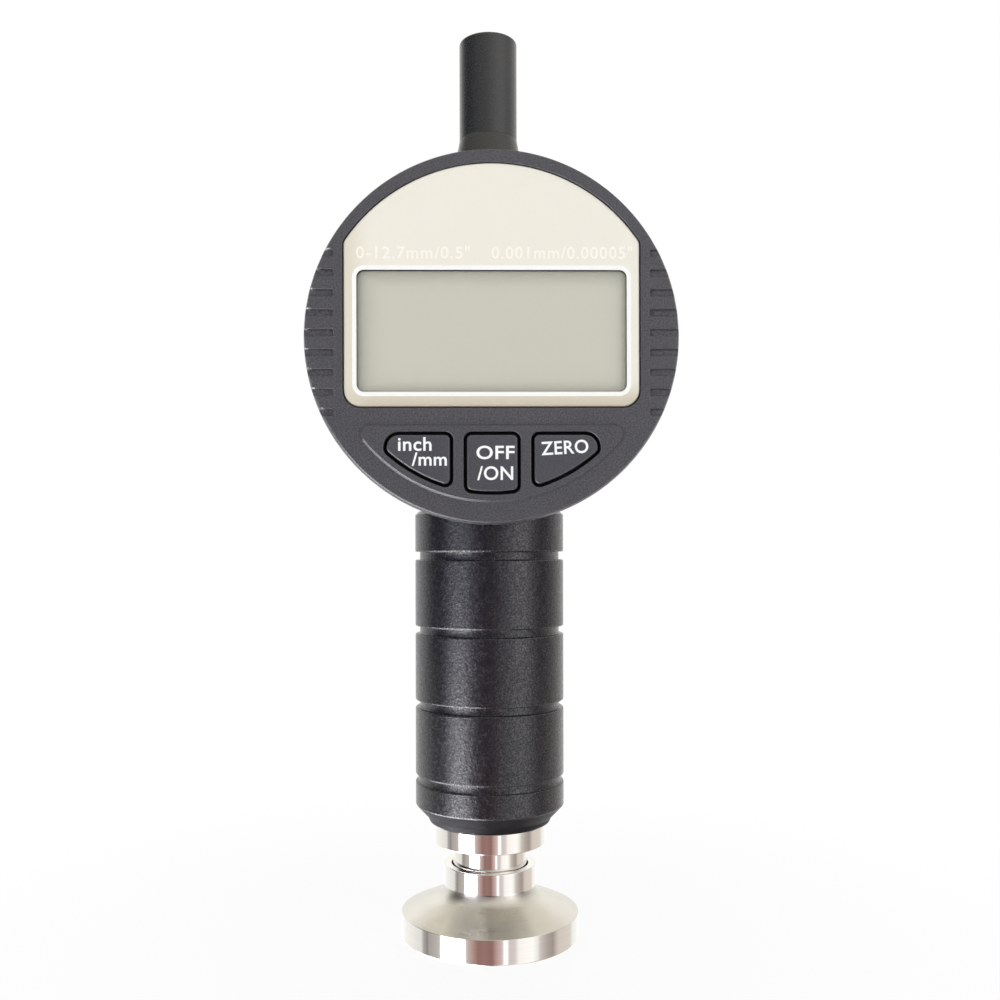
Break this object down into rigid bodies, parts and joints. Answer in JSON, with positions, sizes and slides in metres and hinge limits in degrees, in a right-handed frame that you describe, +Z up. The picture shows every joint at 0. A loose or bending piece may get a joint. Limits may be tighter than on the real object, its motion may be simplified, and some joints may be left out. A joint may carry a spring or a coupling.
{
  "type": "surface profile gauge",
  "caption": "Digital surface profile gauge: round display head on a grooved round handle, flat ring foot with a sprung needle through its middle.",
  "frame": {"origin": "centre of the foot's flat face, on the axis of the stem and the needle", "axes": "+Z up along the stem, from the foot to the cap; the display faces -Y; +X is to the right of someone who reads the display"},
  "size_m": [0.0604, 0.0364, 0.1567],
  "materials": {
    "bezel_grey": "dark grey moulded plastic, fine satin grain",
    "key_grey": "dark grey moulded plastic, satin",
    "panel_champagne": "pale champagne satin face panel",
    "lcd_glass": "grey-green reflective display glass, glossy",
    "window_clear": "clear glossy plastic",
    "case_black": "black satin paint",
    "cap_black": "black satin anodised",
    "anodised_black": "black anodised over a fine blasted grain",
    "stainless": "turned and polished stainless steel",
    "steel": "ground steel",
    "bronze": "plain bearing bronze",
    "circuit_board": "green lacquered board",
    "rubber_black": "black rubber",
    "cell_steel": "bright nickelled steel"
  },
  "bodies": {
    "root": {"foot_base": "stainless", "foot_adapter": "stainless", "handle_sleeve": "anodised_black", "handle_clamp_screw": "steel", "stem": "steel", "lower_bush": "bronze", "upper_bush": "bronze", "stem_nut": "steel", "stop_bumper": "rubber_black", "rear_housing": "case_black", "spindle_cap": "cap_black", "back_cover": "case_black", "cover_screw_1": "steel", "cover_screw_2": "steel", "cover_screw_3": "steel", "cover_screw_4": "steel", "battery": "cell_steel", "battery_contact": "steel", "battery_cap": "case_black", "data_port_plug": "rubber_black", "sensor_board": "circuit_board", "sensor_screw_1": "steel", "sensor_screw_2": "steel", "guide_rail": "steel", "rail_screw_1": "steel", "rail_screw_2": "steel", "return_spring": "steel", "retaining_clip": "steel"},
    "plunger": {"spindle": "steel", "extension_rod": "steel", "probe_needle": "steel", "scale_carrier": "case_black", "carrier_grub_screw": "steel", "guide_pin": "steel", "scale_strip": "circuit_board"},
    "display_head": {"front_bezel": "bezel_grey", "face_panel": "panel_champagne", "display_window": "window_clear", "display_glass": "lcd_glass", "glass_frame": "key_grey", "contact_strip_upper": "rubber_black", "contact_strip_lower": "rubber_black", "main_board": "circuit_board", "keypad_membrane": "rubber_black", "display_drum": "bezel_grey", "drum_screw_1": "steel", "drum_screw_2": "steel", "drum_screw_3": "steel", "drum_screw_4": "steel"},
    "key_unit": {"key_unit": "key_grey"},
    "key_power": {"key_power": "key_grey"},
    "key_zero": {"key_zero": "key_grey"}
  },
  "joints": [
    {"name": "probe_plunge", "type": "slide", "parent": "root", "child": "plunger", "axis": [0, 0, 1], "range_m": [-0.0015, 0.0112], "stiffness_N_per_m": 50, "springref_m": -0.015, "deforming": ["return_spring"]},
    {"name": "head_turn", "type": "hinge", "parent": "root", "child": "display_head", "pos_m": [0, 0, 0.1018], "axis": [0, 1, 0], "range_deg": [-135, 135]},
    {"name": "press_unit", "type": "slide", "parent": "display_head", "child": "key_unit", "axis": [0, 1, 0], "range_m": [0, 0.0005], "stiffness_N_per_m": 1500},
    {"name": "press_power", "type": "slide", "parent": "display_head", "child": "key_power", "axis": [0, 1, 0], "range_m": [0, 0.0005], "stiffness_N_per_m": 1500},
    {"name": "press_zero", "type": "slide", "parent": "display_head", "child": "key_zero", "axis": [0, 1, 0], "range_m": [0, 0.0005], "stiffness_N_per_m": 1500}
  ]
}
